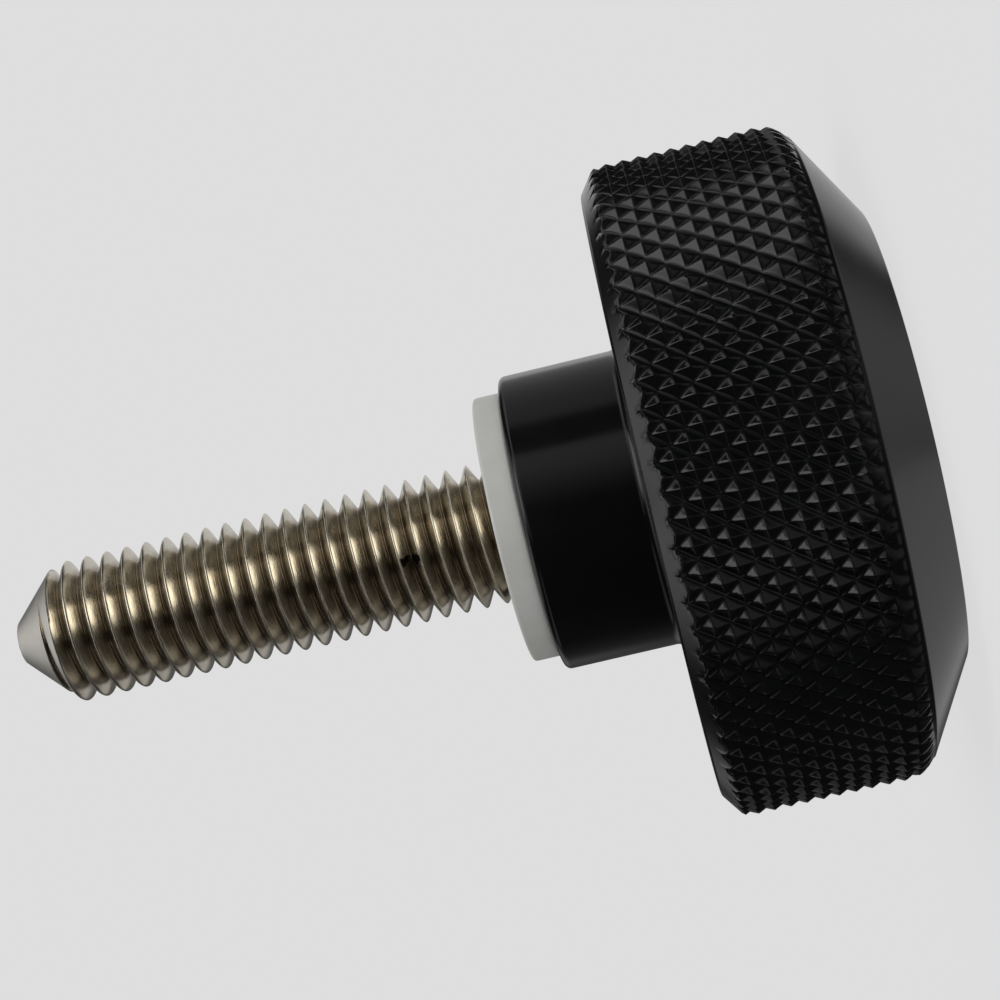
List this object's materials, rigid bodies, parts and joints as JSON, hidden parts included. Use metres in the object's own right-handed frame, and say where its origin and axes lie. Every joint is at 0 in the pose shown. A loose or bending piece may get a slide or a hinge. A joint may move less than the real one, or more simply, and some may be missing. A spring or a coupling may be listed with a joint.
{
  "type": "threaded knob",
  "caption": "Hand screw with a broad cross-knurled round head, a smooth boss, a plain washer against it and a coarse threaded stud with a cone point.",
  "frame": {"origin": "centre of the head's flat front face, which the knob stands on", "axes": "+Z along the axis of the stud, from the front face of the head to the cone point; X and Y are free, because the knob is round"},
  "size_m": [0.0286, 0.0286, 0.0398],
  "materials": {
    "black_aluminium": "black anodised, satin gloss, over turned and cross-knurled surfaces",
    "stainless_steel": "rolled thread, bright with a faint warm tint; the cone point is turned and duller",
    "white_nylon": "plain off-white nylon, slightly translucent, matt"
  },
  "bodies": {
    "root": {"knob_head": "black_aluminium", "threaded_stud": "stainless_steel", "washer": "white_nylon"}
  },
  "joints": []
}
